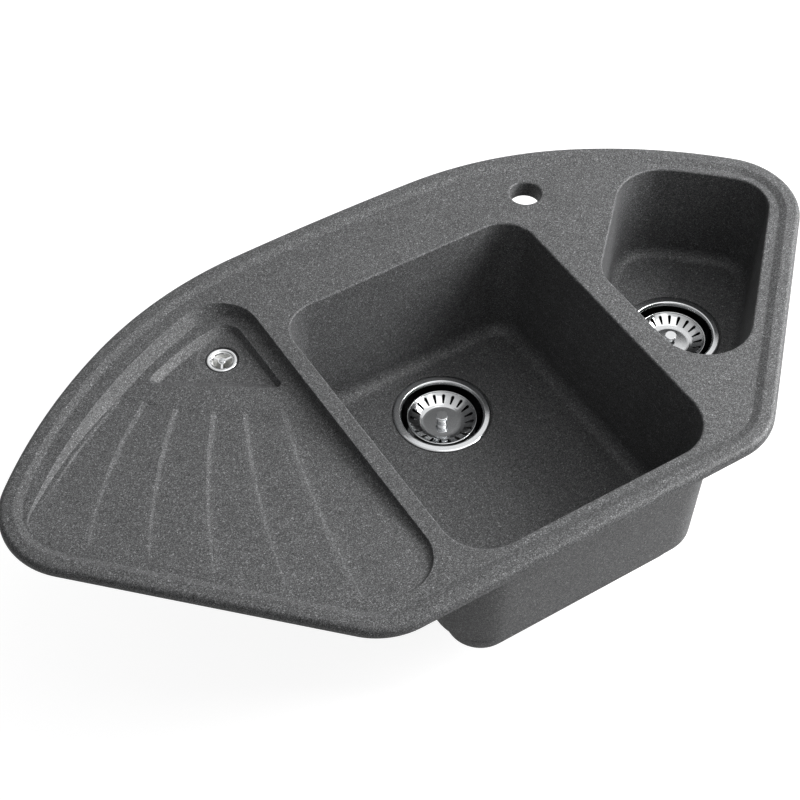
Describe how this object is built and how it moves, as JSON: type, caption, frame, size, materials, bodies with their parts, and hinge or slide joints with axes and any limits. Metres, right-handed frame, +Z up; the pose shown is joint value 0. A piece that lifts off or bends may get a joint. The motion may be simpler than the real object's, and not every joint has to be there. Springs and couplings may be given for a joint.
{
  "type": "corner kitchen sink",
  "caption": "Corner inset kitchen sink in dark granite composite: main bowl, small bowl, fluted drainer, tap hole, lift-out basket wastes and swinging worktop clips.",
  "frame": {"origin": "on the underside of the rim, 8 mm in from the middle of the front edge, level with the worktop's top", "axes": "+X to the right along the front edge, +Y back towards the corner of the room, +Z up"},
  "size_m": [0.9522, 0.5099, 0.2595],
  "materials": {
    "granite": "cast granite composite, matt dark grey with fine pale and black grains",
    "foam": "closed-cell foam strip, matt",
    "polished_steel": "pressed stainless steel, polished",
    "chrome": "mirror bright",
    "steel_screw": "turned stainless steel",
    "black_plastic": "satin moulded",
    "white_plastic": "moulded polypropylene, satin",
    "black_rubber": "soft matt",
    "brass": "knurled, unpolished",
    "zinc_steel": "zinc plated, slightly blue"
  },
  "bodies": {
    "root": {"sink_body": "granite", "rim_seal": "foam", "main_strainer_cup": "polished_steel", "main_cup_seal": "black_rubber", "main_body_seal": "black_rubber", "main_waste_body": "white_plastic", "main_screw_insert": "brass", "main_fixing_screw": "steel_screw", "small_strainer_cup": "polished_steel", "small_cup_seal": "black_rubber", "small_body_seal": "black_rubber", "small_waste_body": "white_plastic", "small_screw_insert": "brass", "small_fixing_screw": "steel_screw", "drainer_grate": "chrome", "grate_screw": "steel_screw", "grate_seal": "black_rubber", "drainer_body_seal": "black_rubber", "drainer_waste_body": "white_plastic", "drainer_insert": "brass", "clip_screws": "zinc_steel", "clip_inserts": "brass"},
    "main_lift": {"main_basket_post": "chrome", "main_post_spacer": "black_plastic", "main_basket_stopper": "black_rubber", "main_stopper_nut": "steel_screw"},
    "main_dish": {"main_basket": "polished_steel"},
    "small_lift": {"small_basket_post": "chrome", "small_post_spacer": "black_plastic", "small_basket_stopper": "black_rubber", "small_stopper_nut": "steel_screw"},
    "small_dish": {"small_basket": "polished_steel"},
    "clip_1": {"clip_1": "zinc_steel"},
    "clip_2": {"clip_2": "zinc_steel"},
    "clip_3": {"clip_3": "zinc_steel"},
    "clip_4": {"clip_4": "zinc_steel"},
    "clip_5": {"clip_5": "zinc_steel"},
    "clip_6": {"clip_6": "zinc_steel"},
    "clip_7": {"clip_7": "zinc_steel"},
    "clip_8": {"clip_8": "zinc_steel"}
  },
  "joints": [
    {"name": "main_basket_lift", "type": "slide", "parent": "root", "child": "main_lift", "axis": [0, 0, 1], "range_m": [0, 0.22]},
    {"name": "main_basket_turn", "type": "hinge", "parent": "main_lift", "child": "main_dish", "pos_m": [0.0385, 0.308, -0.1725], "axis": [0, 0, 1], "continuous": true},
    {"name": "small_basket_lift", "type": "slide", "parent": "root", "child": "small_lift", "axis": [0, 0, 1], "range_m": [0, 0.18]},
    {"name": "small_basket_turn", "type": "hinge", "parent": "small_lift", "child": "small_dish", "pos_m": [0.309, 0.2445, -0.135], "axis": [0, 0, 1], "continuous": true},
    {"name": "clip_1_swing", "type": "hinge", "parent": "root", "child": "clip_1", "pos_m": [-0.02, 0.478, -0.034], "axis": [0, 0, 1], "range_deg": [0, 90]},
    {"name": "clip_2_swing", "type": "hinge", "parent": "root", "child": "clip_2", "pos_m": [-0.252, 0.4441, -0.034], "axis": [0, 0, 1], "range_deg": [0, 90]},
    {"name": "clip_3_swing", "type": "hinge", "parent": "root", "child": "clip_3", "pos_m": [-0.3896, 0.3607, -0.034], "axis": [0, 0, 1], "range_deg": [0, 90]},
    {"name": "clip_4_swing", "type": "hinge", "parent": "root", "child": "clip_4", "pos_m": [-0.2774, 0.0936, -0.034], "axis": [0, 0, 1], "range_deg": [0, 90]},
    {"name": "clip_5_swing", "type": "hinge", "parent": "root", "child": "clip_5", "pos_m": [-0.165, 0.024, -0.034], "axis": [0, 0, 1], "range_deg": [0, 90]},
    {"name": "clip_6_swing", "type": "hinge", "parent": "root", "child": "clip_6", "pos_m": [0.2666, 0.0744, -0.034], "axis": [0, 0, 1], "range_deg": [0, 90]},
    {"name": "clip_7_swing", "type": "hinge", "parent": "root", "child": "clip_7", "pos_m": [0.3192, 0.4131, -0.034], "axis": [0, 0, 1], "range_deg": [0, 90]},
    {"name": "clip_8_swing", "type": "hinge", "parent": "root", "child": "clip_8", "pos_m": [0.1495, 0.4733, -0.034], "axis": [0, 0, 1], "range_deg": [0, 90]}
  ]
}
